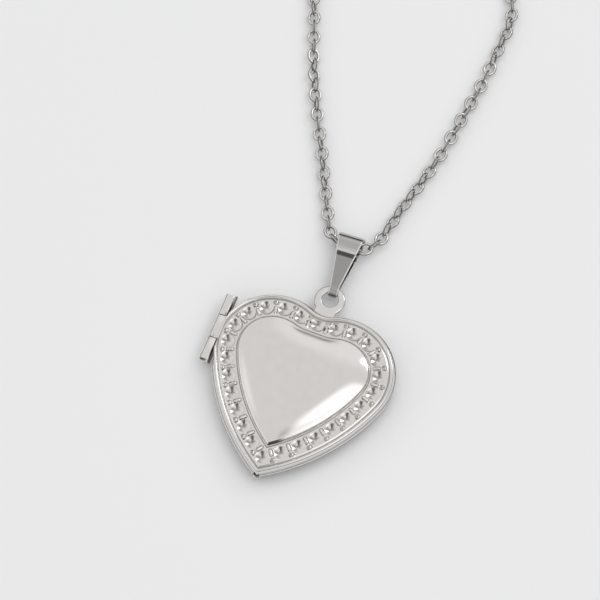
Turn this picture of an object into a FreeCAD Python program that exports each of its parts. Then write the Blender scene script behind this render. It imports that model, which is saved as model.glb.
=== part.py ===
import FreeCAD, Part
import math
import os

# A heart locket lying face up on its back, with its bail and its cable chain.
# Millimetres. The origin is the middle of the flat crown of the back cover.
# +X runs across the heart, +Y from the tip to the notch, +Z out of the front.

# ---- the heart's outline, in tangent arcs ----
LOBE_R = 9.2          # radius of each lobe
LOBE_X = 5.15         # each lobe's centre from the middle line
LOBE_Y = 4.05
SIDE_R = 32.4         # radius of each long side
TIP_Y = -15.5
NOTCH_R = 4.2         # radius of the rounding in the notch

# ---- heights, from the parting plane between the two covers ----
PART_Z = 2.4
SEAM = 0.02           # each cover stops this far from the parting plane
FLANGE_H = 0.4        # upright edge beside the parting plane
FRONT_RIM_H = 1.5
BACK_RIM_H = 1.4
BORDER_DROP = 0.2     # the border lies this far below the rounded rim
FRONT_DOME_H = 1.7
SHELL_T = 0.4
CAVITY_H = 0.6        # depth of each cover's flat ledge

# ---- distances in from the outline ----
RIM_SLOPE = 0.35
RIM_OUT = 0.6
RIM_IN = 0.95
BORDER_OUT = 1.15
DOME_AT = 3.9
COLLAR_IN = 0.75
COLLAR_GAP = 0.06
COLLAR_H = 0.5
FRAME_OUT = 1.0
FRAME_IN = 2.6
FRAME_LOW = 0.15
FRAME_H = 0.3
WINDOW_OUT = 1.2

# ---- the hinge on the left side ----
HINGE_X = -14.4
HINGE_WALL_X = -13.3  # both covers are cut flat here
HINGE_Y = (-1.0, 2.8, 6.7, 10.6)   # ends of the three knuckles
HINGE_GAP = 0.1
KNUCKLE_R = 0.62
PIN_R = 0.28
PIN_CLEAR = 0.03
LEAF_LOW = 0.3
LEAF_HIGH = 0.62
STRAP_HIGH = 0.75
STRAP_X = -13.68

# ---- the ring tab at the notch ----
TAB_R = 2.4
TAB_Y = 15.15
TAB_HOLE_R = 1.25
TAB_HOLE_Y = 15.25
TAB_T = 0.5
TAB_NECK_W = 2.5
TAB_NECK_Y = 12.01

# ---- the bail: a tapered strip folded over the chain and through the tab ----
BAIL_T = 0.3
BAIL_LOW_Y = 16.9
BAIL_LOW_R = 1.1
BAIL_TOP_Y = 24.6
BAIL_TOP_R = 1.9
BAIL_LOW_W = 1.5
BAIL_TAPER_Y = 17.2
BAIL_TOP_W = 4.3
BAIL_TURN = 3.5       # degrees that the bail lies off the heart's middle line
BAIL_PIVOT_Y = 16.95

# ---- the cable chain ----
CHAIN_D = 2.15
BAIL_RUN_X = 3.1      # the chain in the bail ends this far to each side
BAIL_RUN_Y = 25.6
BAIL_RUN_R = 4.75
BAIL_RUN_Z = 1.75
COIL_OUT_R = 13.4     # middle of the outermost turn
COIL_PITCH = 2.2
COIL_TURNS = 2.3
LEFT_COIL = (-15.4, 82.4)
RIGHT_COIL = (12.4, 93.3)
FLOOR_Z = CHAIN_D / 2

# The strands' routes, from the bail to their coils, chosen by hand.
LEFT_ROUTE = [
    (-3.62, 25.4, 1.75),
    (-4.7, 26.7, 1.35),
    (-5.7, 29.0, FLOOR_Z),
    (-7.8, 33.2, FLOOR_Z),
    (-10.4, 38.6, FLOOR_Z),
    (-13.1, 43.6, FLOOR_Z),
    (-16.2, 49.9, FLOOR_Z),
    (-18.3, 55.2, FLOOR_Z),
    (-20.6, 61.4, FLOOR_Z),
    (-23.4, 68.2, FLOOR_Z),
    (-27.2, 75.8, FLOOR_Z),
]
RIGHT_ROUTE = [
    (2.57, 25.77, 1.75),
    (3.4, 26.95, 1.4),
    (3.85, 29.5, FLOOR_Z),
    (4.75, 34.4, FLOOR_Z),
    (6.3, 40.4, FLOOR_Z),
    (7.4, 46.3, FLOOR_Z),
    (8.1, 52.5, FLOOR_Z),
    (9.05, 59.5, FLOOR_Z),
    (9.3, 66.0, FLOOR_Z),
    (9.6, 71.2, FLOOR_Z),
    (7.9, 75.9, FLOOR_Z),
    (4.3, 79.9, FLOOR_Z),
    (1.4, 84.1, FLOOR_Z),
    (0.3, 87.9, FLOOR_Z),
]
# The chain's last stretch, inside each coil, from the coil's centre.
TAIL_ROUTE = [(0.9, 8.25), (3.0, 6.9), (3.95, 4.7), (3.85, 2.8)]
END_TURN = -107.5     # degrees, the way that each end of the chain points

# ---- the rings and the clasp on the chain's ends ----
END_RING_R = 1.9
END_RING_WIRE_R = 0.3
CLASP_RING_R = 1.02
CLASP_RING_WIRE_R = 0.26
CLASP_RING_X = -6.62  # from the middle of the clasp's hook
CLASP_RING_Z = 1.3
CLASP_REACH = 7.5     # from the chain's end to the middle of the hook
CLASP_BOTTOM = 0.1
CLASP_T = 1.6
HOOK_R = 2.3
HOOK_HOLE_R = 1.35
MOUTH_X = 1.2         # the hook's point
EYE_X = -5.6
EYE_R = 1.15
EYE_HOLE_R = 0.6
EYE_Z = (1.0, 1.6)
LEVER_PIVOT = (-2.7, 1.0)
LEVER_END_X = 1.05
LEVER_T = 0.6
LEVER_Z = 0.35
LEVER_ROOT_R = 0.62
CHEEK_T = 0.2
SLOT_R = 1.35
RIVET_R = 0.3
RIVET_CLEAR = 0.03
SPRING_R = 0.55


def vec(x, y, z=0.0):
    return FreeCAD.Vector(x, y, z)


def arc(start, middle, end):
    return Part.Arc(start, middle, end).toShape()


def round_point(cx, cy, radius, angle, z):
    return vec(cx + radius * math.cos(angle), cy + radius * math.sin(angle), z)


def round_edge(cx, cy, radius, first, last, z):
    """An arc about a centre, from one angle to another."""
    angles = (first, (first + last) / 2, last)
    return arc(*[round_point(cx, cy, radius, a, z) for a in angles])


def heart_frame():
    """Centres of the side and notch arcs, and the angles where the arcs meet."""
    drop = LOBE_Y - TIP_Y
    chord = math.hypot(LOBE_X, drop)
    reach = SIDE_R - LOBE_R
    along = (reach**2 - SIDE_R**2 + chord**2) / (2 * chord)
    off = math.sqrt(reach**2 - along**2)
    ux, uy = -LOBE_X / chord, -drop / chord
    side_x = LOBE_X + along * ux + off * uy
    side_y = LOBE_Y + along * uy - off * ux
    notch_y = LOBE_Y + math.sqrt((LOBE_R + NOTCH_R) ** 2 - LOBE_X**2)
    meet_side = math.atan2(LOBE_Y - side_y, LOBE_X - side_x)
    meet_notch = math.atan2(notch_y - LOBE_Y, -LOBE_X)
    return side_x, side_y, notch_y, meet_side, meet_notch


def heart_wire(inset, z):
    """The heart's outline, brought in by inset all round."""
    side_x, side_y, notch_y, meet_side, meet_notch = heart_frame()
    side = SIDE_R - inset
    lobe = LOBE_R - inset
    notch = NOTCH_R + inset
    tip = -math.acos(-side_x / side)
    low = meet_notch - math.pi
    edges = [
        round_edge(side_x, side_y, side, tip, meet_side, z),
        round_edge(LOBE_X, LOBE_Y, lobe, meet_side, meet_notch, z),
        round_edge(0, notch_y, notch, low, -math.pi - low, z),
        round_edge(-LOBE_X, LOBE_Y, lobe, math.pi - meet_notch, math.pi - meet_side, z),
        round_edge(-side_x, side_y, side, math.pi - meet_side, math.pi - tip, z),
    ]
    return Part.Wire(edges)


def heart_loft(sections):
    """A solid through hearts given as (inset, z)."""
    return Part.makeLoft([heart_wire(inset, z) for inset, z in sections], True, True)


def heart_plate(inset, low, high):
    return heart_loft([(inset, low), (inset, high)])


def box(x0, x1, y0, y1, z0, z1):
    return Part.makeBox(x1 - x0, y1 - y0, z1 - z0, vec(x0, y0, z0))


def flat_beside_hinge(solid, wall_x):
    """Cuts the solid flat along the hinge."""
    return solid.cut(box(-20, wall_x, -6, HINGE_Y[3] + 0.3, -5, 12))


def cover(side, rim_h, dome):
    """A stamped shell. side is +1 for the front cover and -1 for the back cover."""
    outer = [
        (0, SEAM),
        (0, FLANGE_H),
        (RIM_SLOPE, rim_h - 0.3),
        (RIM_OUT, rim_h),
        (RIM_IN, rim_h),
        (BORDER_OUT, rim_h - BORDER_DROP),
    ] + dome
    inner = [(SHELL_T, -0.1), (SHELL_T, CAVITY_H), (DOME_AT + 0.3, CAVITY_H)]
    inner += [(inset + 0.2, height - SHELL_T) for inset, height in dome[1:]]
    shell = heart_loft([(t, PART_Z + side * h) for t, h in outer])
    hollow = heart_loft([(t, PART_Z + side * h) for t, h in inner])
    shell = flat_beside_hinge(shell, HINGE_WALL_X)
    hollow = flat_beside_hinge(hollow, HINGE_WALL_X + SHELL_T)
    nail_slot = box(-0.45, 0.45, TIP_Y - 1, TIP_Y + 0.9, PART_Z - 0.35, PART_Z + 0.35)
    return shell.cut(hollow).cut(nail_slot)


def front_cover():
    border = FRONT_RIM_H - BORDER_DROP
    steps = [(0, 0), (0.45, 0.7), (1.3, 1.15), (2.4, 1.45), (3.7, 1.65), (4.4, FRONT_DOME_H)]
    dome = [(DOME_AT + t, border + h) for t, h in steps]
    return cover(1, FRONT_RIM_H, dome)


def back_cover():
    border = BACK_RIM_H - BORDER_DROP
    steps = [(0, 0), (0.6, 0.7), (1.6, 1.05), (2.5, PART_Z - border)]
    dome = [(DOME_AT + t, border + h) for t, h in steps]
    slot_top = PART_Z + 0.1
    slot = box(-TAB_NECK_W / 2, TAB_NECK_W / 2, 10.9, 14, PART_Z - TAB_T - SEAM, slot_top)
    return cover(-1, BACK_RIM_H, dome).cut(slot)


def snap_collar():
    """A band inside the back cover's wall that grips the front cover's wall."""
    low = PART_Z - CAVITY_H
    seat = flat_beside_hinge(heart_plate(SHELL_T, low, PART_Z - SEAM), HINGE_WALL_X + SHELL_T)
    grip_inset = SHELL_T + COLLAR_GAP
    grip = heart_plate(grip_inset, PART_Z - SEAM, PART_Z + COLLAR_H)
    grip = flat_beside_hinge(grip, HINGE_WALL_X + grip_inset)
    hollow = heart_plate(COLLAR_IN, low - 1, PART_Z + 1)
    hollow = flat_beside_hinge(hollow, HINGE_WALL_X + COLLAR_IN)
    return seat.fuse(grip).cut(hollow).removeSplitter()


def frame(side):
    """The retaining rim that holds a picture in one cover."""
    low, high = sorted(PART_Z + side * h for h in (FRAME_LOW, FRAME_LOW + FRAME_H))
    rim = flat_beside_hinge(heart_plate(FRAME_OUT, low, high), HINGE_WALL_X + FRAME_OUT)
    hole = flat_beside_hinge(heart_plate(FRAME_IN, low - 1, high + 1), HINGE_WALL_X + FRAME_IN)
    return rim.cut(hole)


def window(side):
    """The clear sheet between the picture and its frame."""
    low, high = sorted(PART_Z + side * h for h in (FRAME_LOW + FRAME_H, CAVITY_H))
    return flat_beside_hinge(heart_plate(WINDOW_OUT, low, high), HINGE_WALL_X + WINDOW_OUT)


def along_hinge(radius, y0, y1):
    return Part.makeCylinder(radius, y1 - y0, vec(HINGE_X, y0, PART_Z), vec(0, 1, 0))


def leaf(side, knuckles, strap_y):
    """One hinge leaf: its knuckles, their tongues and the strap soldered to a cover."""
    strap = sorted(PART_Z + side * h for h in (LEAF_LOW, STRAP_HIGH))
    solid = box(STRAP_X, HINGE_WALL_X, strap_y[0], strap_y[1], *strap)
    tongue = sorted(PART_Z + side * h for h in (LEAF_LOW, LEAF_HIGH))
    for y0, y1 in knuckles:
        solid = solid.fuse(along_hinge(KNUCKLE_R, y0, y1))
        solid = solid.fuse(box(HINGE_X, HINGE_WALL_X, y0, y1, *tongue))
    bore = along_hinge(PIN_R + PIN_CLEAR, HINGE_Y[0] - 1, HINGE_Y[3] + 1)
    return solid.cut(bore).removeSplitter()


def hinge_leaf_back():
    outer = [
        (HINGE_Y[0], HINGE_Y[1] - HINGE_GAP / 2),
        (HINGE_Y[2] + HINGE_GAP / 2, HINGE_Y[3]),
    ]
    return leaf(-1, outer, (HINGE_Y[0], HINGE_Y[3]))


def hinge_leaf_front():
    middle = (HINGE_Y[1] + HINGE_GAP / 2, HINGE_Y[2] - HINGE_GAP / 2)
    return leaf(1, [middle], (-0.4, 8.4))


def hinge_pin():
    return along_hinge(PIN_R, HINGE_Y[0] - 0.1, HINGE_Y[3] + 0.1)


def ring_tab():
    """The flat eyelet, set in a slot of the back cover."""
    low = PART_Z - TAB_T - SEAM
    eye = Part.makeCylinder(TAB_R, TAB_T, vec(0, TAB_Y, low))
    half = TAB_NECK_W / 2
    eye = eye.fuse(box(-half, half, TAB_NECK_Y, TAB_Y - 1, low, low + TAB_T))
    hole = Part.makeCylinder(TAB_HOLE_R, TAB_T + 2, vec(0, TAB_HOLE_Y, low - 1))
    return eye.cut(hole).removeSplitter()


def turned(shape):
    """Swings a piece of the bail by its small angle about the ring tab."""
    shape.rotate(vec(0, BAIL_PIVOT_Y, 0), vec(0, 0, 1), BAIL_TURN)
    return shape


def tab_middle_z():
    return PART_Z - SEAM - TAB_T / 2


def bail_top_z():
    return BAIL_TOP_R + 0.05


def belt_face(low_r, top_r):
    """The outline round the bail's two folds, in the YZ plane."""
    dy = BAIL_TOP_Y - BAIL_LOW_Y
    dz = bail_top_z() - tab_middle_z()
    slope = math.atan2(dz, dy)
    lean = math.acos(-(top_r - low_r) / math.hypot(dy, dz))

    def on(y, z, radius, angle):
        return vec(0, y + radius * math.cos(angle), z + radius * math.sin(angle))

    up = slope + lean
    down = slope - lean
    low = (BAIL_LOW_Y, tab_middle_z(), low_r)
    top = (BAIL_TOP_Y, bail_top_z(), top_r)
    edges = [
        arc(on(*top, down), on(*top, slope), on(*top, up)),
        Part.LineSegment(on(*top, up), on(*low, up)).toShape(),
        arc(on(*low, up), on(*low, slope + math.pi), on(*low, down + 2 * math.pi)),
        Part.LineSegment(on(*low, down), on(*top, down)).toShape(),
    ]
    return Part.Face(Part.Wire(edges))


def bail():
    belt = belt_face(BAIL_LOW_R, BAIL_TOP_R)
    belt = belt.cut(belt_face(BAIL_LOW_R - BAIL_T, BAIL_TOP_R - BAIL_T))
    strip = belt.extrude(vec(10, 0, 0))
    strip.translate(vec(-5, 0, 0))
    ends = [
        (BAIL_LOW_Y - 3, BAIL_LOW_W / 2),
        (BAIL_TAPER_Y, BAIL_LOW_W / 2),
        (BAIL_TOP_Y + BAIL_TOP_R, BAIL_TOP_W / 2),
        (BAIL_TOP_Y + 4, BAIL_TOP_W / 2),
    ]
    outline = [vec(x, y, -3) for y, x in ends] + [vec(-x, y, -3) for y, x in reversed(ends)]
    taper = Part.Face(Part.makePolygon(outline + outline[:1])).extrude(vec(0, 0, 12))
    return turned(strip.common(taper))


def corner_radius(before, corner, after):
    """The tangent arc's radius at a corner of a route, and its setback."""
    one = corner - before
    two = after - corner
    half = one.getAngle(two) / 2
    setback = 0.45 * min(one.Length, two.Length)
    return setback / math.tan(half), setback


def tube(name, points):
    """A chain's envelope: straight runs joined by tangent arcs."""
    places = [vec(*p) for p in points]
    edges = []
    start = places[0]
    radii = []
    for before, corner, after in zip(places, places[1:], places[2:]):
        radius, setback = corner_radius(before, corner, after)
        radii.append(radius)
        into = corner + (before - corner).normalize() * setback
        out = corner + (after - corner).normalize() * setback
        bisector = ((into + out) * 0.5 - corner).normalize()
        depth = math.hypot(radius, setback) - radius
        edges.append(Part.LineSegment(start, into).toShape())
        edges.append(arc(into, corner + bisector * depth, out))
        start = out
    edges.append(Part.LineSegment(start, places[-1]).toShape())
    path = Part.Wire(edges)
    ring = Part.Wire(Part.makeCircle(CHAIN_D / 2, places[0], places[1] - places[0]))
    solid = path.makePipeShell([ring], True, True)
    expected = math.pi * (CHAIN_D / 2) ** 2 * path.Length
    shortest = ", ".join(f"{r / CHAIN_D:.1f}" for r in radii)
    print(f"{name}: {path.Length:.1f} mm, volume ratio {solid.Volume / expected:.4f}")
    print(f"  radii in diameters: {shortest}")
    return solid


def chain_in_bail():
    """The bend of the chain that the bail hangs on."""
    reach = math.asin(BAIL_RUN_X / BAIL_RUN_R)
    centre_y = BAIL_RUN_Y + BAIL_RUN_R * math.cos(reach)

    def on(angle):
        y = centre_y - BAIL_RUN_R * math.cos(angle)
        return vec(BAIL_RUN_R * math.sin(angle), y, BAIL_RUN_Z)

    path = Part.Wire(arc(on(-reach), on(0), on(reach)))
    facing = vec(math.cos(reach), -math.sin(reach), 0)
    ring = Part.Wire(Part.makeCircle(CHAIN_D / 2, on(-reach), facing))
    return turned(path.makePipeShell([ring], True, True))


def coil_solid(centre):
    """The outer shape of one coil: a flat ring as thick as the chain."""
    outer = COIL_OUT_R + CHAIN_D / 2
    inner = COIL_OUT_R - COIL_PITCH * COIL_TURNS - CHAIN_D / 2
    ring = Part.makeCylinder(outer, CHAIN_D, vec(*centre, 0))
    return ring.cut(Part.makeCylinder(inner, CHAIN_D, vec(*centre, 0)))


def tail(name, centre):
    """The end of one strand, where it leaves the coil's inner turn."""
    return tube(name, [(centre[0] + x, centre[1] + y, FLOOR_Z) for x, y in TAIL_ROUTE])


def end_place(centre, reach):
    """A point in line with the chain's end, beyond it by reach."""
    x, y = TAIL_ROUTE[-1]
    turn = math.radians(END_TURN)
    return vec(centre[0] + x + reach * math.cos(turn), centre[1] + y + reach * math.sin(turn))


def end_ring():
    ring = Part.makeTorus(END_RING_R, END_RING_WIRE_R)
    ring.translate(end_place(LEFT_COIL, END_RING_R) + vec(0, 0, END_RING_WIRE_R))
    return ring


def on_clasp(shape):
    """Moves a piece from the middle of the clasp's hook to its place in the coil."""
    shape.rotate(vec(0, 0, 0), vec(0, 0, 1), END_TURN)
    shape.translate(end_place(RIGHT_COIL, CLASP_REACH) + vec(0, 0, CLASP_BOTTOM))
    return shape


def disc(x, y, radius, low, high):
    return Part.makeCylinder(radius, high - low, vec(x, y, low))


def clasp_ring():
    """The jump ring through the clasp's eye, standing on its edge."""
    place = vec(CLASP_RING_X, 0, CLASP_RING_Z)
    return on_clasp(Part.makeTorus(CLASP_RING_R, CLASP_RING_WIRE_R, place, vec(0, 1, 0)))


def clasp_outline():
    """The face round the hook and the eye: two circles and their tangents."""
    lean = math.acos((HOOK_R - EYE_R) / -EYE_X)

    def on(x, radius, angle):
        return vec(x + radius * math.cos(angle), radius * math.sin(angle))

    tilt = math.pi - lean
    edges = [
        arc(on(0, HOOK_R, -tilt), on(0, HOOK_R, 0), on(0, HOOK_R, tilt)),
        Part.LineSegment(on(0, HOOK_R, tilt), on(EYE_X, EYE_R, tilt)).toShape(),
        arc(on(EYE_X, EYE_R, tilt), on(EYE_X, EYE_R, math.pi), on(EYE_X, EYE_R, -tilt)),
        Part.LineSegment(on(EYE_X, EYE_R, -tilt), on(0, HOOK_R, -tilt)).toShape(),
    ]
    return Part.Face(Part.Wire(edges))


def clasp_body():
    """The lobster claw: a hook, a forked hinge for its lever and a thin eye."""
    body = clasp_outline().extrude(vec(0, 0, CLASP_T))
    body = body.cut(disc(0, 0, HOOK_HOLE_R, -1, 3))
    body = body.cut(box(-1.6, 0, -0.85, 0.85, -1, 3))
    body = body.cut(box(-1.8, MOUTH_X, 0.5, 3, -1, 3))
    body = body.cut(disc(*LEVER_PIVOT, SLOT_R, CHEEK_T, CLASP_T - CHEEK_T))
    body = body.cut(disc(*LEVER_PIVOT, RIVET_R, -1, 3))
    body = body.cut(box(EYE_X - 2, EYE_X + 1.3, -2, 2, -1, EYE_Z[0] - CLASP_BOTTOM))
    body = body.cut(box(EYE_X - 2, EYE_X + 1.3, -2, 2, EYE_Z[1] - CLASP_BOTTOM, 3))
    body = body.cut(disc(EYE_X, 0, EYE_HOLE_R, -1, 3))
    return on_clasp(body)


def clasp_lever():
    """The sprung bar that closes the hook, with a thumb tab."""
    low, high = LEVER_Z, LEVER_Z + LEVER_T
    x, y = LEVER_PIVOT
    bar = [(x, y - 0.45), (LEVER_END_X, 1.2), (LEVER_END_X, 1.8), (x, y + 0.6)]
    lever = Part.Face(Part.makePolygon([vec(*p, low) for p in bar + bar[:1]]))
    lever = lever.extrude(vec(0, 0, LEVER_T)).fuse(disc(x, y, LEVER_ROOT_R, low, high))
    lever = lever.fuse(box(-1.2, -0.5, 1.3, 2.35, low, high))
    return on_clasp(lever.cut(disc(x, y, RIVET_R + RIVET_CLEAR, -1, 3)).removeSplitter())


def clasp_spring():
    """The coil spring on the rivet, as a plain sleeve."""
    low, high = LEVER_Z + LEVER_T + 0.05, CLASP_T - CHEEK_T
    sleeve = disc(*LEVER_PIVOT, SPRING_R, low, high)
    return on_clasp(sleeve.cut(disc(*LEVER_PIVOT, RIVET_R + RIVET_CLEAR, -1, 3)))


def clasp_rivet():
    return on_clasp(disc(*LEVER_PIVOT, RIVET_R, 0, CLASP_T))


def export(name, shape):
    if shape.ShapeType == "Compound" and len(shape.Solids) == 1:
        shape = shape.Solids[0]
    print(f"{name}: solids {len(shape.Solids)}, volume {shape.Volume:.3f}, valid {shape.isValid()}")
    shape.exportStep(f"parts/{name}.step")


def main():
    os.makedirs("parts", exist_ok=True)
    export("front_cover", front_cover())
    export("back_cover", back_cover())
    export("snap_collar", snap_collar())
    export("front_frame", frame(1))
    export("back_frame", frame(-1))
    export("front_window", window(1))
    export("back_window", window(-1))
    export("hinge_leaf_back", hinge_leaf_back())
    export("hinge_leaf_front", hinge_leaf_front())
    export("hinge_pin", hinge_pin())
    export("ring_tab", ring_tab())
    export("bail", bail())
    export("chain_in_bail", chain_in_bail())
    export("chain_left", tube("left strand", LEFT_ROUTE))
    export("chain_right", tube("right strand", RIGHT_ROUTE))
    export("chain_left_coil", coil_solid(LEFT_COIL))
    export("chain_right_coil", coil_solid(RIGHT_COIL))
    export("chain_left_tail", tail("left tail", LEFT_COIL))
    export("chain_right_tail", tail("right tail", RIGHT_COIL))
    export("end_ring", end_ring())
    export("clasp_ring", clasp_ring())
    export("clasp_body", clasp_body())
    export("clasp_lever", clasp_lever())
    export("clasp_spring", clasp_spring())
    export("clasp_rivet", clasp_rivet())
    pivot = on_clasp(Part.Vertex(*LEVER_PIVOT, 0)).Point
    print(f"lever pivot at {pivot.x:.4f}, {pivot.y:.4f}")


main()
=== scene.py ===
import math
import random

import bmesh
import bpy
import numpy as np
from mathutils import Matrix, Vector


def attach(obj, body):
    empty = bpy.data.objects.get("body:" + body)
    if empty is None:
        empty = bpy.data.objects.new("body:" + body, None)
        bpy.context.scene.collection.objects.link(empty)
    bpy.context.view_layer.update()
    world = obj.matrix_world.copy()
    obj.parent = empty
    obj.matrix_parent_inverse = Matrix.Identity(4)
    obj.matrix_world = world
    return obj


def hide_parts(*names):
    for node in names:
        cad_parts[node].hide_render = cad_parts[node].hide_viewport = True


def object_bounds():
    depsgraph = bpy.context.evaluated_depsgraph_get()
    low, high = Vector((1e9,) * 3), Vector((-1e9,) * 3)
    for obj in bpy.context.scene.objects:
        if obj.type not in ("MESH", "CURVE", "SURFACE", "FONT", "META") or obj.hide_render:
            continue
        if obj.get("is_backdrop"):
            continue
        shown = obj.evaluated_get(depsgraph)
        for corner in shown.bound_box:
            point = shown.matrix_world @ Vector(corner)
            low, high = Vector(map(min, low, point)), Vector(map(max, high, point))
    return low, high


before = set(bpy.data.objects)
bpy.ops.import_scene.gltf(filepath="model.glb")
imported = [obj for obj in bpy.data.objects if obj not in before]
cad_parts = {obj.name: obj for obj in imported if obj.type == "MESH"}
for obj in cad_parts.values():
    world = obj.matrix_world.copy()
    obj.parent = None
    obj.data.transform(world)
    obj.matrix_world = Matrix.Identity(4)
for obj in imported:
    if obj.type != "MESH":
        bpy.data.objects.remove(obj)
CAD_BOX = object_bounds()
scene = bpy.context.scene
scene.view_settings.view_transform = "Standard"

# Shapes are written in millimetres, in the row frame, and turned to metres as each mesh is made.
MM = 0.001

# ---- the heart, its covers and the hinge, as in the CAD part ----
LOBE_R, LOBE_X, LOBE_Y = 9.2, 5.15, 4.05
SIDE_R, TIP_Y, NOTCH_R = 32.4, -15.5, 4.2
PART_Z = 2.4
SEAM = 0.02
HINGE_X, HINGE_WALL_X = -14.4, -13.3
HINGE_Y = (-1.0, 2.8, 6.7, 10.6)
KNUCKLE_R = 0.62
BAIL_TURN = math.radians(3.5)
BAIL_PIVOT_Y = 16.95

# ---- the chain: a cable chain of oval links ----
CHAIN_D = 2.15
FLOOR_Z = CHAIN_D / 2
LINK_LENGTH = 2.68
LINK_WIRE_R = 0.23
LINK_PITCH = 1.72
LINK_SEGMENTS, LINK_SIDES = 24, 12
LINK_AHEAD = 0.8      # a link points along this much of the line on each side of it
WANDER_STEP = 0.31    # radians from one link to the next in the strand's slow twist
ROLL_JITTER = 8       # degrees
BAIL_CHAIN_Z = 1.75   # height of the chain where it lies in the bail
COIL_OUT_R, COIL_PITCH, COIL_TURNS = 13.4, 2.2, 2.3
COIL_START = math.radians(203.6)
COIL_STEPS = 14       # control points in each turn of a coil
LEFT_COIL = (-15.4, 82.4)
RIGHT_COIL = (12.4, 93.3)
LEFT_ROUTE = [
    (-3.62, 25.4, BAIL_CHAIN_Z),
    (-4.7, 26.7, 1.35),
    (-5.7, 29.0, FLOOR_Z),
    (-7.8, 33.2, FLOOR_Z),
    (-10.4, 38.6, FLOOR_Z),
    (-13.1, 43.6, FLOOR_Z),
    (-16.2, 49.9, FLOOR_Z),
    (-18.3, 55.2, FLOOR_Z),
    (-20.6, 61.4, FLOOR_Z),
    (-23.4, 68.2, FLOOR_Z),
]
RIGHT_ROUTE = [
    (2.57, 25.77, BAIL_CHAIN_Z),
    (3.4, 26.95, 1.4),
    (3.85, 29.5, FLOOR_Z),
    (4.75, 34.4, FLOOR_Z),
    (6.3, 40.4, FLOOR_Z),
    (7.4, 46.3, FLOOR_Z),
    (8.1, 52.5, FLOOR_Z),
    (9.05, 59.5, FLOOR_Z),
    (9.3, 66.0, FLOOR_Z),
    (9.6, 71.2, FLOOR_Z),
    (7.9, 75.9, FLOOR_Z),
    (4.3, 79.9, FLOOR_Z),
    (1.4, 84.1, FLOOR_Z),
]
TAIL_ROUTE = [(0.9, 8.25), (3.0, 6.9), (3.95, 4.7), (3.85, 2.8)]
BAIL_ROUTE = [(-3.1, 25.6), (-1.6, 24.4), (1.6, 24.4), (3.1, 25.6)]


# ================= camera =================
CAMERA_PLACE = Vector((50.2, -125.1, 370.9))
CAMERA_TARGET = Vector((-4.59, 14.37, 0))
SENSOR_WIDTH, FOCAL_LENGTH = 36, 156.2


def add_camera():
    data = bpy.data.cameras.new("camera")
    data.sensor_width = SENSOR_WIDTH
    data.lens = FOCAL_LENGTH
    data.clip_start = 0.01
    camera = bpy.data.objects.new("camera", data)
    scene.collection.objects.link(camera)
    place = CAMERA_PLACE * MM
    camera.location = place
    camera.rotation_euler = (CAMERA_TARGET * MM - place).to_track_quat("-Z", "Y").to_euler()
    scene.camera = camera


# ================= materials =================
CLOUD_SCALE, WIPE_SCALE, SCRATCH_SCALE = 700, 900, 5200
SCRATCH_DEPTH = 2e-6  # metres
# Painted shade: the dark tone that each point's painted shade attribute mixes into the steel's colour, in
# place of shade and dark reflections.
PAINTED_SHADE_TONE = (0.12, 0.12 * 0.985, 0.12 * 0.96, 1)


def steel(name, tone, rough, cloud=0.012, scratch=0.25):
    """Polished steel with fine wipe marks in its gloss, its colour darkened by a per-point attribute of
    painted shade and painted dark reflections.
    """
    material = bpy.data.materials.new(name)
    material.use_nodes = True
    nodes, links = material.node_tree.nodes, material.node_tree.links
    nodes.clear()
    shader = nodes.new("ShaderNodeBsdfPrincipled")
    output = nodes.new("ShaderNodeOutputMaterial")
    links.new(shader.outputs[0], output.inputs[0])
    shader.inputs["Metallic"].default_value = 1.0
    place = nodes.new("ShaderNodeTexCoord")

    def noise(scale, detail, stretch=(1, 1, 1)):
        mapping = nodes.new("ShaderNodeMapping")
        mapping.inputs["Scale"].default_value = stretch
        links.new(place.outputs["Object"], mapping.inputs["Vector"])
        texture = nodes.new("ShaderNodeTexNoise")
        texture.inputs["Scale"].default_value = scale
        texture.inputs["Detail"].default_value = detail
        links.new(mapping.outputs[0], texture.inputs["Vector"])
        return texture.outputs[0]

    def spread(value, low, high):
        node = nodes.new("ShaderNodeMapRange")
        node.inputs["From Min"].default_value = 0.3
        node.inputs["From Max"].default_value = 0.7
        node.inputs["To Min"].default_value = low
        node.inputs["To Max"].default_value = high
        links.new(value, node.inputs["Value"])
        return node.outputs[0]

    ramp = nodes.new("ShaderNodeValToRGB")
    ramp.color_ramp.elements[0].color = (*[c * (1 - cloud) for c in tone], 1)
    ramp.color_ramp.elements[1].color = (*[min(1, c * (1 + cloud)) for c in tone], 1)
    ramp.color_ramp.elements[0].position = 0.35
    ramp.color_ramp.elements[1].position = 0.65
    links.new(noise(CLOUD_SCALE, 4), ramp.inputs[0])
    # reads each point's painted shade and painted dark reflections
    painted_shade = nodes.new("ShaderNodeAttribute")
    painted_shade.attribute_name = "painted_shade"
    shade = nodes.new("ShaderNodeMixRGB")
    shade.blend_type = "MULTIPLY"
    shade.inputs["Color2"].default_value = PAINTED_SHADE_TONE
    links.new(painted_shade.outputs["Fac"], shade.inputs["Fac"])
    links.new(ramp.outputs[0], shade.inputs["Color1"])
    links.new(shade.outputs[0], shader.inputs["Base Color"])
    wipe = noise(WIPE_SCALE, 5, (1, 6, 2))
    links.new(spread(wipe, rough * 0.75, rough * 1.35), shader.inputs["Roughness"])
    bump = nodes.new("ShaderNodeBump")
    bump.inputs["Strength"].default_value = scratch
    bump.inputs["Distance"].default_value = SCRATCH_DEPTH
    links.new(noise(SCRATCH_SCALE, 3, (1, 9, 1)), bump.inputs["Height"])
    links.new(bump.outputs[0], shader.inputs["Normal"])
    return material


def clear_sheet(name):
    """Clear acetate with faint clouding in its gloss."""
    material = steel(name, (0.95, 0.96, 0.96), 0.08, cloud=0.02, scratch=0.1)
    shader = material.node_tree.nodes["Principled BSDF"]
    shader.inputs["Metallic"].default_value = 0.0
    shader.inputs["Transmission Weight"].default_value = 0.95
    shader.inputs["IOR"].default_value = 1.47
    shader.inputs["Alpha"].default_value = 0.35
    return material


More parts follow.
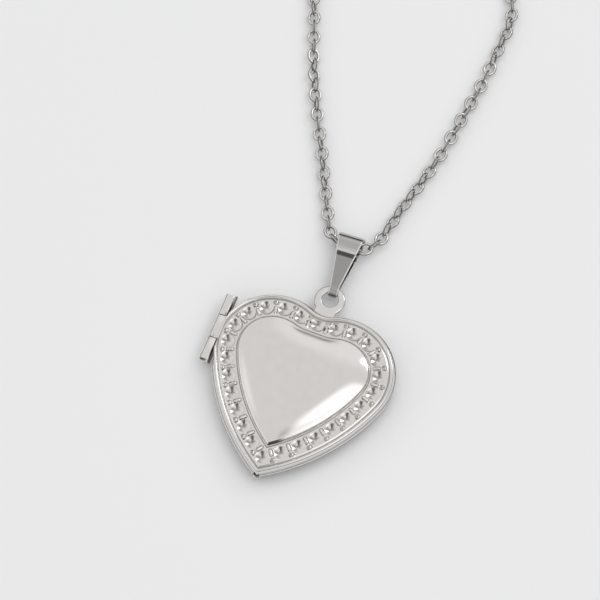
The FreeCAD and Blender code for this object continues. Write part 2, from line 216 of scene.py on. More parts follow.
def matt(name, tone, scale):
    """A matt studio surface with a faint drift in tone."""
    material = bpy.data.materials.new(name)
    material.use_nodes = True
    nodes, links = material.node_tree.nodes, material.node_tree.links
    shader = nodes["Principled BSDF"]
    shader.inputs["Roughness"].default_value = 0.75
    shader.inputs["Specular IOR Level"].default_value = 0.2
    place = nodes.new("ShaderNodeTexCoord")
    texture = nodes.new("ShaderNodeTexNoise")
    texture.inputs["Scale"].default_value = scale
    texture.inputs["Detail"].default_value = 3
    links.new(place.outputs["Object"], texture.inputs["Vector"])
    ramp = nodes.new("ShaderNodeValToRGB")
    ramp.color_ramp.elements[0].color = (*[c * 0.985 for c in tone], 1)
    ramp.color_ramp.elements[1].color = (*tone, 1)
    links.new(texture.outputs[0], ramp.inputs[0])
    links.new(ramp.outputs[0], shader.inputs["Base Color"])
    return material


POLISHED = steel("polished_steel", (0.83, 0.81, 0.785), 0.10)
BAIL_STEEL = steel("bail_steel", (0.82, 0.805, 0.785), 0.11)
CHAIN_STEEL = steel("chain_steel", (0.84, 0.825, 0.80), 0.09)
CLASP_STEEL = steel("clasp_steel", (0.74, 0.73, 0.71), 0.15)
FRAME_STEEL = steel("frame_steel", (0.70, 0.69, 0.67), 0.24, scratch=0.5)
PIN_STEEL = steel("pin_steel", (0.5, 0.49, 0.48), 0.22)
SPRING_STEEL = steel("spring_steel", (0.5, 0.5, 0.49), 0.25)
CLEAR = clear_sheet("clear_sheet")


# ================= meshes =================
WELD, SLIVER = 2e-6, 1e-6   # metres


def show(mesh, material, body, replaced, sharp):
    """A mesh as a piece of its own name, smooth except at edges sharper than sharp degrees."""
    mesh.materials.append(material)
    mesh.polygons.foreach_set("use_smooth", [True] * len(mesh.polygons))
    mesh.set_sharp_from_angle(angle=math.radians(sharp))
    obj = bpy.data.objects.new(mesh.name, mesh)
    scene.collection.objects.link(obj)
    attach(obj, body)
    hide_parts(*replaced)
    return obj


def piece(name, verts, faces, material, body, replaced, sharp=38, merge=False, painted_shade=None):
    """A piece from points in the row frame, with an optional darkness for each point that paints shade and
    dark reflections into its colour.
    """
    mesh = bpy.data.meshes.new(name)
    mesh.from_pydata([tuple(float(c) * MM for c in v) for v in verts], [], faces)
    if painted_shade is not None:
        layer = mesh.attributes.new("painted_shade", "FLOAT", "POINT")
        layer.data.foreach_set("value", np.asarray(painted_shade, np.float32))
    if merge:
        weld(mesh)
    return show(mesh, material, body, replaced, sharp)


def weld(mesh):
    work = bmesh.new()
    work.from_mesh(mesh)
    bmesh.ops.remove_doubles(work, verts=work.verts, dist=WELD)
    bmesh.ops.dissolve_degenerate(work, edges=work.edges, dist=SLIVER)
    bmesh.ops.recalc_face_normals(work, faces=work.faces)
    work.to_mesh(mesh)
    work.free()


def ring_faces(rings, size, first=0, closed=False):
    """Quads between rings of size points each."""
    faces = []
    count = rings if closed else rings - 1
    for i in range(count):
        a, b = first + i * size, first + (i + 1) % rings * size
        for j in range(size):
            k = (j + 1) % size
            faces.append((a + j, a + k, b + k, b + j))
    return faces


def capped_faces(rings, size):
    """Quads between rings, with a flat face on the first and on the last."""
    last = (rings - 1) * size
    return ring_faces(rings, size) + [tuple(range(size))[::-1], tuple(range(last, last + size))]


def turned(rows, sides, place):
    """A solid turned on an axis from rows of (radius, height), each point put by place."""
    verts = []
    for r, height in rows:
        for i in range(sides):
            a = i / sides * 2 * math.pi
            verts.append(place(r * math.cos(a), r * math.sin(a), height))
    return verts, capped_faces(len(rows), sides)


def wire_loop(path_xy, path_normal, radius, sides):
    """Points of a round wire along a closed flat loop: (len, sides, 3) in (u, v, w)."""
    angle = np.arange(sides) / sides * 2 * math.pi
    out = radius * np.cos(angle)
    rise = radius * np.sin(angle)
    u = path_xy[:, :1] + path_normal[:, :1] * out
    v = path_xy[:, 1:] + path_normal[:, 1:] * out
    return np.stack([u, v, np.broadcast_to(rise, u.shape)], -1)


# ================= the chain =================
def spline_points(name, control):
    """The line of a NURBS curve through given control points, in millimetres."""
    curve = bpy.data.curves.new(name, "CURVE")
    curve.dimensions = "3D"
    spline = curve.splines.new("NURBS")
    spline.points.add(len(control) - 1)
    for point, place in zip(spline.points, control):
        point.co = (*[c * MM for c in place], 1)
    spline.order_u = 3
    spline.use_endpoint_u = True
    spline.resolution_u = 12
    holder = bpy.data.objects.new(name, curve)
    scene.collection.objects.link(holder)
    bpy.context.view_layer.update()
    mesh = bpy.data.meshes.new_from_object(holder)
    line = np.array([v.co for v in mesh.vertices], float) / MM
    bpy.data.objects.remove(holder)
    bpy.data.meshes.remove(mesh)
    return line


def distances(line):
    steps = np.linalg.norm(np.diff(line, axis=0), axis=1)
    return np.concatenate([[0], np.cumsum(steps)])


def along(line, travelled, s):
    return np.array([np.interp(s, travelled, line[:, k]) for k in range(3)])


def link_shape():
    """An oval link about its centre, its length along u and its width along v, with painted dark reflections
    on its wire's inner and outer flanks.
    """
    turn = np.arange(LINK_SEGMENTS) / LINK_SEGMENTS * 2 * math.pi
    half_length = LINK_LENGTH / 2 - LINK_WIRE_R
    half_width = CHAIN_D / 2 - LINK_WIRE_R
    path = np.stack([half_length * np.cos(turn), half_width * np.sin(turn)], 1)
    normal = np.stack([half_width * np.cos(turn), half_length * np.sin(turn)], 1)
    normal /= np.linalg.norm(normal, axis=1)[:, None]
    flank = np.cos(np.arange(LINK_SIDES) / LINK_SIDES * 2 * math.pi)
    # painted dark reflection: each wire's flanks darkened in its colour, most on the link's inner side
    painted_dark = np.where(flank < 0, 1.0, 0.85) * np.abs(flank) ** 2.6
    shape = wire_loop(path, normal, LINK_WIRE_R, LINK_SIDES)
    return shape.reshape(-1, 3), np.tile(painted_dark, LINK_SEGMENTS)


def chain_links(line, parity, rng, wander):
    """Oval links along a line, each turned a quarter from the one before. wander is in degrees."""
    travelled = distances(line)
    count = round(travelled[-1] / LINK_PITCH)
    pitch = travelled[-1] / count
    shape, painted_dark = link_shape()
    verts, faces = [], []
    drift = rng.uniform(0, 6.28)
    for i in range(count):
        s = (i + 0.5) * pitch
        before = along(line, travelled, max(0, s - LINK_AHEAD))
        after = along(line, travelled, min(travelled[-1], s + LINK_AHEAD))
        forward = (after - before) / np.linalg.norm(after - before)
        side = np.cross([0, 0, 1.0], forward)
        side /= np.linalg.norm(side)
        up = np.cross(forward, side)
        twist = wander * math.sin(drift + i * WANDER_STEP)
        roll = math.radians(twist + rng.uniform(-ROLL_JITTER, ROLL_JITTER))
        if (i + parity) % 2:
            roll += math.pi / 2
        wide = side * math.cos(roll) + up * math.sin(roll)
        deep = np.cross(forward, wide)
        middle = along(line, travelled, s)
        base = len(verts) * len(shape)
        verts.append(middle + shape @ np.stack([forward, wide, deep]))
        faces += ring_faces(LINK_SEGMENTS, LINK_SIDES, base, closed=True)
    return np.concatenate(verts), faces, np.tile(painted_dark, count)


def coil_route(centre):
    """Control points of one coil's turns, from its outside inwards, then the chain's end."""
    points = []
    for i in range(1, int(COIL_STEPS * COIL_TURNS)):
        turn = i / COIL_STEPS
        angle = COIL_START - turn * 2 * math.pi
        radius = COIL_OUT_R - COIL_PITCH * turn
        points.append((radius * math.cos(angle), radius * math.sin(angle)))
    return [(centre[0] + x, centre[1] + y, FLOOR_Z) for x, y in points + TAIL_ROUTE]


def swing(x, y):
    """A point of the bail, turned with it about the ring tab."""
    c, s = math.cos(BAIL_TURN), math.sin(BAIL_TURN)
    dy = y - BAIL_PIVOT_Y
    return x * c - dy * s, BAIL_PIVOT_Y + x * s + dy * c


# ================= the ends of the chain =================
END_TURN = math.radians(-107.5)
END_RING_R, END_RING_WIRE_R = 1.9, 0.3
CLASP_RING_R, CLASP_RING_WIRE_R = 1.02, 0.26
CLASP_RING_X, CLASP_RING_Z = -6.62, 1.3
CLASP_REACH, CLASP_BOTTOM, CLASP_T = 7.5, 0.1, 1.6
LEVER_PIVOT = (-2.7, 1.0)
SPRING_Z = (1.03, 1.37)
SPRING_R, SPRING_WIRE_R = 0.44, 0.036
SPRING_STEPS, SPRING_TURN_STEPS = 72, 18
RING_STEPS, RING_GAP = 60, 0.05
RIVET_HEAD = [(0.05, 0.09), (0.22, 0.08), (0.34, 0.05), (0.4, 0.005), (0.3, 0)]   # radius, rise
END_DOME = [(0.96, 0.25), (0.7, 0.7), (0.35, 0.93)]   # shares of a wire's radius: rise, radius


def end_place(centre, reach, x, y, z):
    """A point of a piece beyond the chain's end, by reach and then by the piece's own x, y, z."""
    c, s = math.cos(END_TURN), math.sin(END_TURN)
    bx, by = centre[0] + TAIL_ROUTE[-1][0] + reach * c, centre[1] + TAIL_ROUTE[-1][1] + reach * s
    return bx + x * c - y * s, by + x * s + y * c, z


def wire(line, radius, sides=12):
    """A round wire along a list of points, with domed ends."""
    line = np.asarray(line, float)
    ahead = np.gradient(line, axis=0)
    ahead /= np.linalg.norm(ahead, axis=1)[:, None]
    first = np.cross(ahead, [0.13, 0.21, 0.97])
    first /= np.linalg.norm(first, axis=1)[:, None]
    second = np.cross(ahead, first)
    rows = [(0, -out, size) for out, size in END_DOME] + [(i, 0, 1) for i in range(len(line))]
    rows += [(len(line) - 1, out, size) for out, size in reversed(END_DOME)]
    turn = np.arange(sides) / sides * 2 * math.pi
    verts = []
    for i, out, size in rows:
        middle = line[i] + ahead[i] * out * radius
        for a in turn:
            verts.append(middle + radius * size * (first[i] * math.cos(a) + second[i] * math.sin(a)))
    return verts, capped_faces(len(rows), sides)


def split_ring(place, radius, wire_r, start, upright=False):
    """A jump ring: a turn of wire whose domed ends all but meet."""
    gap = (wire_r * 2 + RING_GAP) / radius
    line = []
    for i in range(RING_STEPS + 1):
        a = start + gap / 2 + (2 * math.pi - gap) * i / RING_STEPS
        flat, other = radius * math.cos(a), radius * math.sin(a)
        line.append(place(flat, 0, other) if upright else place(flat, other, 0))
    return wire(line, wire_r)


def softened(name, node, material, body, width):
    """A copy of a CAD part's shape with its edges rounded over."""
    flat, corner = math.radians(2), math.radians(35)
    work = bmesh.new()
    work.from_mesh(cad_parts[node].data)
    bmesh.ops.remove_doubles(work, verts=work.verts, dist=SLIVER)
    bmesh.ops.dissolve_limit(work, angle_limit=flat, verts=work.verts, edges=work.edges)
    bmesh.ops.bevel(
        work,
        geom=[e for e in work.edges if len(e.link_faces) == 2 and e.calc_face_angle() > corner],
        offset=width * MM,
        segments=2,
        profile=0.5,
        affect="EDGES",
        clamp_overlap=True,
    )
    bmesh.ops.triangulate(work, faces=[f for f in work.faces if len(f.verts) > 4])
    mesh = bpy.data.meshes.new(name)
    work.to_mesh(mesh)
    work.free()
    return show(mesh, material, body, [node], 30)


def add_end_ring():
    def place(x, y, z):
        return end_place(LEFT_COIL, END_RING_R, x, y, END_RING_WIRE_R + z)

    verts, faces = split_ring(place, END_RING_R, END_RING_WIRE_R, 1.2)
    return [piece("end_loop", verts, faces, CHAIN_STEEL, "chain", ["end_ring"], sharp=60)]


def add_clasp():
    """The lobster clasp: claw, lever, coil spring and domed rivet, and its jump ring."""
    px, py = LEVER_PIVOT

    def place(x, y, z):
        return end_place(RIGHT_COIL, CLASP_REACH, x, y, CLASP_BOTTOM + z)

    def pivot_place(x, y, z):
        return place(px + x, py + y, z)

    def ring_place(x, y, z):
        return place(CLASP_RING_X + x, y, CLASP_RING_Z + z)

    verts, faces = split_ring(ring_place, CLASP_RING_R, CLASP_RING_WIRE_R, 2.6, upright=True)
    pieces = [piece("jump_ring", verts, faces, CHAIN_STEEL, "chain", ["clasp_ring"], sharp=60)]
    pieces.append(softened("claw", "clasp_body", CLASP_STEEL, "chain", 0.13))
    pieces.append(softened("claw_lever", "clasp_lever", CLASP_STEEL, "clasp_lever", 0.09))
    low, high = SPRING_Z
    coil = []
    for i in range(SPRING_STEPS + 1):
        a = i / SPRING_TURN_STEPS * 2 * math.pi
        z = low + (high - low) * i / SPRING_STEPS
        coil.append(pivot_place(SPRING_R * math.cos(a), SPRING_R * math.sin(a), z))
    verts, faces = wire(coil, SPRING_WIRE_R, 8)
    stood_for = ["clasp_spring"]
    spring = piece("claw_spring", verts, faces, SPRING_STEEL, "chain", stood_for, sharp=60)
    rows = [(r, -rise) for r, rise in RIVET_HEAD]
    rows += [(r, CLASP_T + rise) for r, rise in reversed(RIVET_HEAD)]
    verts, faces = turned(rows, 24, pivot_place)
    rivet = piece("claw_rivet", verts, faces, PIN_STEEL, "chain", ["clasp_rivet"], sharp=50)
    return pieces + [spring, rivet]


def strand(name, route, centre, parity, replaced, pieces, seed):
    line = spline_points(name + "_line", route + coil_route(centre))
    verts, faces, painted_dark = chain_links(line, parity, random.Random(seed), 24)
    obj = piece(name, verts, faces, CHAIN_STEEL, "chain", replaced, painted_shade=painted_dark)
    tuple(c * MM for c in route[0])


def add_chain():
    line = spline_points("bail_line", [(*swing(x, y), BAIL_CHAIN_Z) for x, y in BAIL_ROUTE])
    verts, faces, painted_dark = chain_links(line, 1, random.Random(3), 0)
    piece("links_in_bail", verts, faces, CHAIN_STEEL, "chain", ["chain_in_bail"], painted_shade=painted_dark)
    left = ["chain_left", "chain_left_coil", "chain_left_tail"]
    strand("links_left", LEFT_ROUTE, LEFT_COIL, 0, left, add_end_ring(), 11)
    right = ["chain_right", "chain_right_coil", "chain_right_tail"]
    strand("links_right", RIGHT_ROUTE, RIGHT_COIL, 1, right, add_clasp(), 12)


# ================= the heart =================
def heart_frame():
    drop = LOBE_Y - TIP_Y
    chord = math.hypot(LOBE_X, drop)
    reach = SIDE_R - LOBE_R
    run = (reach**2 - SIDE_R**2 + chord**2) / (2 * chord)
    off = math.sqrt(reach**2 - run**2)
    ux, uy = -LOBE_X / chord, -drop / chord
    side_x = LOBE_X + run * ux + off * uy
    side_y = LOBE_Y + run * uy - off * ux
    notch_y = LOBE_Y + math.sqrt((LOBE_R + NOTCH_R) ** 2 - LOBE_X**2)
    meet_side = math.atan2(LOBE_Y - side_y, LOBE_X - side_x)
    meet_notch = math.atan2(notch_y - LOBE_Y, -LOBE_X)
    return side_x, side_y, notch_y, meet_side, meet_notch


HEART_STEPS = (170, 190, 28)  # points along a side, a lobe and the notch
BAND_STEPS = (60, 70, 16)


def smooth(value, low, high):
    t = np.clip((np.asarray(value) - low) / (high - low), 0, 1)
    return t * t * (3 - 2 * t)


def heart_loop(inset, steps=HEART_STEPS, lift=0.0):
    """Points round the heart from its tip, brought in by inset. lift raises the inner notch."""
    side_x, side_y, notch_y, meet_side, meet_notch = heart_frame()

    def sweep(cx, cy, radius, first, last, count):
        angle = first + (last - first) * np.arange(count) / count
        return np.stack([cx + radius * np.cos(angle), cy + radius * np.sin(angle)], 1)

    side = SIDE_R - inset
    tip = -math.acos(-side_x / side)
    low = meet_notch - math.pi
    middle = -math.pi / 2
    lobe = LOBE_R - inset
    right = np.concatenate([
        sweep(side_x, side_y, side, tip, meet_side, steps[0]),
        sweep(LOBE_X, LOBE_Y, lobe, meet_side, meet_notch, steps[1]),
        sweep(0, notch_y, NOTCH_R + inset, low, middle, steps[2] // 2),
    ])
    bottom = np.array([[0, notch_y - NOTCH_R - inset]])
    left = right[:0:-1] * [-1, 1]
    loop = np.concatenate([right, bottom, left])
    near = np.exp(-((loop[:, 0] / 2.6) ** 2)) * (loop[:, 1] > 0)
    loop[:, 1] += lift * near
    return loop


CUPS = 26
CUP_INSET = 2.5
CUP_R = 1.2
CUP_DEPTH = 0.3
SHADE_R = 0.5         # the soft painted dark patch in each bowl, a painted shade and dark reflection, and its offset from the middle
SHADE_SHIFT = np.array([-0.13, 0.22])
FAR_WALL = np.array([-0.93, -0.37])    # the way from a bowl's middle to its shaded wall
BEAD_OUT, BEAD_R, BEAD_HIGH = 0.8, 0.42, 0.36
BAR_IN, BAR_HALF, BAR_R, BAR_HIGH = 0.42, 0.34, 0.3, 0.30
PAINTED_PIT_SHIFT = (0.1, 0.06)                # the painted dark spot that stands beside each bead's middle, a painted shade where no pit is modelled
NOTCH_LIFT = 0.5


def lift_at(inset):
    return NOTCH_LIFT * float(smooth(inset, 1.1, 2.6))


def evenly(loop, count, offset=0.0):
    """Points spaced evenly round a closed loop, with the way outwards at each."""
    closed = np.concatenate([loop, loop[:1]])
    travelled = np.concatenate([[0], np.cumsum(np.linalg.norm(np.diff(closed, axis=0), axis=1))])
    s = (np.arange(count) + offset) / count * travelled[-1]
    at = np.stack([np.interp(s, travelled, closed[:, k]) for k in (0, 1)], 1)
    ahead = np.stack([np.interp((s + 0.05) % travelled[-1], travelled, closed[:, k]) for k in (0, 1)], 1)
    way = ahead - at
    way /= np.linalg.norm(way, axis=1)[:, None]
    return at, np.stack([way[:, 1], -way[:, 0]], 1)


def stamping(points):
    """Height that the stamped bowls, bars and beads give each point of the border, and the painted shade and
    dark reflections laid on it.
    """
    row = heart_loop(CUP_INSET, lift=lift_at(CUP_INSET))
    centres, ways = evenly(row, CUPS)
    between, out = evenly(row, CUPS, 0.5)
    height = np.zeros(len(points))
    painted_dark = np.zeros(len(points))
    for i, (c, w) in enumerate(zip(centres, ways)):
        offset = points - c
        outwards = offset @ w
        r = np.linalg.norm(offset, axis=1)
        bowl = np.clip(1 - (r / CUP_R) ** 2, 0, 1)
        height -= CUP_DEPTH * bowl**1.6
        # painted shade: a ragged dark patch in each bowl, off its middle
        spot = offset - SHADE_SHIFT
        ragged = 1 + 0.2 * np.cos(5 * np.arctan2(spot[:, 1], spot[:, 0]) + 1.7 * i)
        patch = np.linalg.norm(spot, axis=1) / (SHADE_R * ragged)
        painted_dark = np.maximum(painted_dark, 0.74 * smooth(patch, 1.25, 0.15))
        # painted shade on each bowl's far wall
        wall = smooth(r, 0.1, 0.4) * smooth(r, 1.15, 0.75) * smooth(offset @ FAR_WALL, -0.1, 0.5)
        painted_dark = np.maximum(painted_dark, 0.6 * wall)
        # painted shade: a dark arc along each bowl's inner edge, stronger towards the top of the heart
        scallop = smooth(np.abs(r - 1.04), 0.17, 0.03) * smooth(-outwards, 0.1, 0.8)
        painted_dark = np.maximum(painted_dark, (0.12 + 0.6 * float(smooth(c[1], 1.0, 6.5))) * scallop)
    for c, w in zip(between, out):
        offset = points - c
        across = offset @ [-w[1], w[0]]
        outwards = offset @ w
        r = np.hypot(across, outwards - BEAD_OUT)
        height += BEAD_HIGH * np.sqrt(np.clip(1 - (r / BEAD_R) ** 2, 0, 1))
        painted_dark = np.where(r < BEAD_R - 0.02, 0, painted_dark)
        # painted shade: a small dark spot beside each bead's middle
        painted_pit = np.linalg.norm(offset - BEAD_OUT * w + PAINTED_PIT_SHIFT, axis=1)
        painted_dark = np.maximum(painted_dark, 0.8 * smooth(painted_pit, 0.18, 0.07))
        r = np.hypot(across, np.maximum(0, np.abs(outwards + BAR_IN) - BAR_HALF))
        height += BAR_HIGH * np.sqrt(np.clip(1 - (r / BAR_R) ** 2, 0, 1))
        painted_dark = np.where(r < BAR_R - 0.02, 0, painted_dark)
    return height, painted_dark


SOLVE_STEPS, SOLVE_END = 4000, 1e-18


def inflated(points, triangles, fixed):
    """A film blown up over a flat outline: 0 on its edge and 1 at its highest."""
    a, b, c = (points[triangles[:, k]] for k in range(3))
    area = 0.5 * np.abs(np.cross(b - a, c - a))

    def cot(p, q, r):
        return np.sum((q - p) * (r - p), 1) / (2 * area)

    pairs = [(1, 2, cot(a, b, c)), (2, 0, cot(b, c, a)), (0, 1, cot(c, a, b))]
    one = np.concatenate([triangles[:, i] for i, _, _ in pairs])
    two = np.concatenate([triangles[:, j] for _, j, _ in pairs])
    weight = np.concatenate([w for _, _, w in pairs]) * 0.5
    size = len(points)
    free = ~fixed
    load = sum(np.bincount(triangles[:, k], area / 3, size) for k in range(3)) * free
    diagonal = np.bincount(one, weight, size) + np.bincount(two, weight, size)

    def apply(x):
        flow = weight * (x[one] - x[two])
        return (np.bincount(one, flow, size) - np.bincount(two, flow, size)) * free

    x = np.zeros(size)
    residual = load.copy()
    scaled = residual / diagonal
    way = scaled.copy()
    power = residual @ scaled
    target = power * SOLVE_END
    for _ in range(SOLVE_STEPS):
        moved = apply(way)
        step = power / (way @ moved)
        x += step * way
        residual -= step * moved
        scaled = residual / diagonal
        fresh = residual @ scaled
        if fresh < target:
            break
        way = scaled + fresh / power * way
        power = fresh
    return x / x.max()


def crown(edge, centre, rings):
    """Rings from an edge to a centre, their faces and an inflated height over them."""
    scale = 1 - (np.arange(rings) / rings) ** 0.9
    flat = np.concatenate([centre + (edge - centre) * s for s in scale] + [[centre]])
    size = len(edge)
    quads = ring_faces(rings, size)
    last = (rings - 1) * size
    fan = [(last + j, last + (j + 1) % size, rings * size) for j in range(size)]
    triangles = [(q[0], q[1], q[2]) for q in quads] + [(q[0], q[2], q[3]) for q in quads] + fan
    fixed = np.zeros(len(flat), bool)
    fixed[:size] = True
    return flat, quads + fan, inflated(flat, np.array(triangles), fixed)


TRIM = 0.5            # the rim is trimmed by this much beside the hinge
TRIM_X, TRIM_Y = -9, (-1.7, 10.45)
WALL_Y = (-6, HINGE_Y[3] + 0.3)        # the flat wall stands between these


def walled(loop, wall_x):
    """Flattens a ring of a cover against the wall beside the hinge."""
    beside = (loop[:, 1] > WALL_Y[0]) & (loop[:, 1] < WALL_Y[1])
    loop[beside, 0] = np.maximum(loop[beside, 0], wall_x)
    return loop


def trimmed(inset, wall_x, lift):
    """A ring of a cover, trimmed beside the hinge."""
    loop = heart_loop(inset, lift=lift)
    edge = heart_loop(0)
    if inset < TRIM:
        cut = (edge[:, 0] < TRIM_X) & (edge[:, 1] > TRIM_Y[0]) & (edge[:, 1] < TRIM_Y[1])
        loop[cut] = heart_loop(TRIM)[cut]
    return walled(loop, wall_x)


def wall_limit(inset, loop, height, profile):
    """Keeps the flat wall beside the hinge from standing above the surface behind it."""
    plain = heart_loop(inset)
    depth = inset + np.maximum(0, loop[:, 0] - plain[:, 0]) * (plain[:, 0] < TRIM_X)
    behind = np.interp(depth, [p[0] for p in profile], [p[1] for p in profile])
    return np.minimum(height, np.where(depth > inset + 1e-6, np.maximum(behind, 0), height))


def painted_tip_reflection(points):
    """A painted dark reflection that runs up the right of the dome's point; no fold is modelled there."""
    return smooth(points[:, 0], 2.3, 1.1) * (points[:, 0] > 0.02) * (points[:, 1] < -6)


ROW_PAINTED_SHADE = 0.68       # scales the painted shade and dark reflections written beside each ring of a cover
TIP_REFLECTION_INSET = 4.04   # the painted dark reflection at the point is drawn on the dome's rings further in than this
BORDER_STEPS = 24
SHEET_T = 0.4
# painted shade over the whole inside of each cover
INSIDE_PAINTED_SHADE = 0.15
CROWN_CENTRE = np.array([0.0, 1.2])
CROWN_RINGS = 26
NAIL_TOP = {1: 0.9, -1: 0.34}   # how far the nail slot at the tip reaches into each cover


def cover(name, side, profile, border, dome, top, stamped, replaced, body):
    """A stamped shell: rim, border, dome bevel and inflated crown, with its inside."""
    crown_h, power = top
    rings, painted_dark = [], []
    behind = [(inset, height) for inset, height, _ in profile if inset > 0]
    nail = TIP_Y + 0.85
    for inset, height, shade in profile:
        loop = trimmed(inset, HINGE_WALL_X, lift_at(inset))
        z = wall_limit(inset, loop, np.full(len(loop), height), behind)
        shade = np.full(len(loop), shade * ROW_PAINTED_SHADE)
        if height < NAIL_TOP[side]:
            pry = (np.abs(loop[:, 0]) < 0.4) & (loop[:, 1] < nail)
            loop[pry, 1] = nail
            # the nail slot is painted black, as painted shade
            shade[pry] = 1
        rings.append((loop, z))
        painted_dark.append(shade)
    for i in range(1, BORDER_STEPS + 1):
        inset = border[0] + (border[1] - border[0]) * i / BORDER_STEPS
        loop = trimmed(inset, HINGE_WALL_X, lift_at(inset))
        z = np.full(len(loop), border[2])
        shade = np.zeros(len(loop))
        if stamped:
            fade = float(smooth(inset, border[0], border[0] + 0.2))
            fade *= float(smooth(border[1] - 0.06 - inset, 0, 0.25))
            pressed, shade = stamping(loop)
            z = z + pressed * fade
            shade = shade * fade
        rings.append((loop, z))
        painted_dark.append(shade)
    for inset, height, shade in dome:
        loop = heart_loop(inset, lift=lift_at(inset))
        rings.append((loop, np.full(len(loop), height)))
        shade = np.full(len(loop), shade * ROW_PAINTED_SHADE)
        if stamped and inset > TIP_REFLECTION_INSET:
            shade = np.maximum(shade, painted_tip_reflection(loop))
        painted_dark.append(shade)
    size = len(rings[0][0])
    points = [np.column_stack([loop, PART_Z + side * z]) for loop, z in rings]
    flat, crown_faces, blown = crown(rings[-1][0], CROWN_CENTRE, CROWN_RINGS)
    high = dome[-1][1] + crown_h * (1 - (1 - blown) ** power)
    verts = np.concatenate(points[:-1] + [np.column_stack([flat, PART_Z + side * high])])
    faces = ring_faces(len(points), size)
    shift = (len(points) - 1) * size
    faces += [tuple(i + shift for i in f) for f in crown_faces]
    start = len(verts)
    painted_shade = np.concatenate(painted_dark[:-1] + [np.zeros(len(flat))])
    # the inside: its wall, its ledge and the dome's hollow
    inner = []
    for inset, height in INSIDE_ROWS:
        loop = trimmed(inset, HINGE_WALL_X + SHEET_T, lift_at(inset))
        inner.append(np.column_stack([loop, np.full(size, PART_Z + side * height)]))
    shrink = CROWN_CENTRE + (flat - CROWN_CENTRE) * 0.975
    hollow = np.column_stack([shrink, PART_Z + side * (high - SHEET_T)])
    verts = np.concatenate([verts] + inner + [hollow])
    inside = ring_faces(len(inner) + 1, size, start)
    shift = start + len(inner) * size
    inside += [tuple(i + shift for i in f) for f in crown_faces]
    faces += [tuple(reversed(f)) for f in inside]
    faces += [(start + j, start + (j + 1) % size, (j + 1) % size, j) for j in range(size)]
    painted_shade = np.concatenate([painted_shade, np.full(len(verts) - start, INSIDE_PAINTED_SHADE)])
    return piece(name, verts, faces, POLISHED, body, replaced,
                 sharp=32, merge=True, painted_shade=painted_shade)


# Each ring of a cover's edge and dome: distance in, height from the parting plane, painted shade (dark
# reflections painted into the colour).
RIM = [
    (0, 0.02, 0.9), (0, 0.3, 0.5), (0, 0.36, 0.2), (0.02, 0.4, 0.1), (0.07, 0.43, 0.35),
    (0.13, 0.47, 0.9), (0.17, 0.6, 0.8), (0.22, 0.8, 0.45), (0.29, 1.05, 0.2), (0.33, 1.18, 0.1),
    (0.38, 1.3, 0), (0.45, 1.4, 0), (0.55, 1.475, 0), (0.67, 1.5, 0), (0.79, 1.48, 0),
    (0.9, 1.41, 0.05), (0.97, 1.33, 0.2), (1.01, 1.25, 0.6), (1.06, 1.2, 0.9), (1.13, 1.2, 0.6),
    (1.2, 1.235, 0.1), (1.28, 1.275, 0), (1.36, 1.3, 0),
]
FRONT_DOME = [
    (3.87, 1.28, 0.5), (3.9, 1.27, 0.9), (3.93, 1.33, 0.6), (3.97, 1.48, 0.2), (4.02, 1.66, 0),
    (4.07, 1.79, 0), (4.13, 1.88, 0), (4.2, 1.95, 0), (4.28, 1.995, 0), (4.36, 2.03, 0), (4.43, 2.05, 0),
]
BACK_DOME = [
    (3.9, 1.18, 0.8), (3.94, 1.24, 0.4), (4.1, 1.48, 0), (4.3, 1.73, 0), (4.42, 1.85, 0),
    (4.5, 1.9, 0), (4.6, 1.94, 0),
]
# The inside wall and ledge of both covers: distance in, height from the parting plane.
INSIDE_ROWS = [(0.4, SEAM), (0.4, 0.5), (0.44, 0.58), (0.52, 0.6), (2.0, 0.6), (4.1, 0.6)]
# The flat border of each: where it begins and ends, and its height.
FRONT_BORDER = (1.36, 3.84, 1.3)
BACK_BORDER = (1.36, 3.86, 1.2)
FRONT_CROWN, BACK_CROWN = (0.95, 2.0), (0.46, 3.0)    # height and fullness


def add_covers():
    low_rim = [(inset, height - 0.1 * (height > 0.5), shade) for inset, height, shade in RIM]
    cover("front_shell", 1, RIM, FRONT_BORDER, FRONT_DOME, FRONT_CROWN, True, ["front_cover"], "front_half")
    cover("back_shell", -1, low_rim, BACK_BORDER, BACK_DOME, BACK_CROWN, False, ["back_cover"], "back_half")


# ================= pieces with rounded edges =================
def heart_band(name, section, material, body, replaced):
    """A band that runs round inside a cover: section is its closed outline, (inset, z)."""
    rings = []
    for inset, z in section:
        loop = walled(heart_loop(inset, BAND_STEPS), HINGE_WALL_X + inset)
        rings.append(np.column_stack([loop, np.full(len(loop), z)]))
    faces = ring_faces(len(rings), len(rings[0]), closed=True)
    piece(name, np.concatenate(rings), faces, material, body, replaced, sharp=30, merge=True)


def add_bands():
    for side, name, body in ((1, "front", "front_half"), (-1, "back", "back_half")):
        z = [PART_Z + side * h for h in (0.15, 0.19, 0.28, 0.41, 0.45)]
        section = [
            (1.0, z[3]), (1.0, z[2]), (1.04, z[1]), (1.12, z[0]), (1.5, z[0]), (1.62, z[1]),
            (2.15, z[1]), (2.25, z[0]), (2.4, z[0] - side * 0.03), (2.54, z[1]), (2.6, z[2]),
            (2.57, z[3]), (2.5, z[4]), (1.04, z[4]),
        ]
        heart_band(name + "_rim", section, FRAME_STEEL, body, [name + "_frame"])
    low = PART_Z - 0.6
    section = [
        (0.4, low), (0.4, PART_Z - SEAM), (0.46, PART_Z - SEAM), (0.46, PART_Z + 0.38),
        (0.5, PART_Z + 0.46), (0.57, PART_Z + 0.5), (0.66, PART_Z + 0.49), (0.73, PART_Z + 0.44),
        (0.75, PART_Z + 0.36), (0.75, low),
    ]
    heart_band("collar", section, POLISHED, "back_half", ["snap_collar"])


